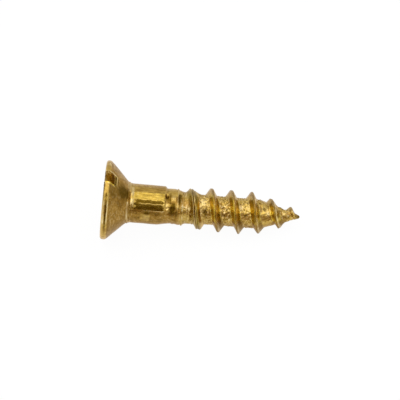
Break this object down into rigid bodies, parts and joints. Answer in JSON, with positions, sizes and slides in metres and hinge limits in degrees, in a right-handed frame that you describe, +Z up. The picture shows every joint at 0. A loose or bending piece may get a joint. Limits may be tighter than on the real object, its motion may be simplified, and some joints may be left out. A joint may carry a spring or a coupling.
{
  "type": "countersunk wood screw",
  "caption": "Slotted brass wood screw with a flat countersunk head, plain shank, coarse right-hand thread and gimlet point, lying on its side.",
  "frame": {"origin": "on the surface that the screw lies on, below the middle of its bounding box", "axes": "+Z up, +X from the head towards the tip, which dips 7.4 degrees below level as the screw rests on its head and thread, +Y to the side, across the driver slot"},
  "size_m": [0.0162, 0.0064, 0.0063],
  "materials": {
    "brass": "bright rolled brass with slight tarnish and scuffs"
  },
  "bodies": {
    "root": {"screw": "brass"}
  },
  "joints": []
}
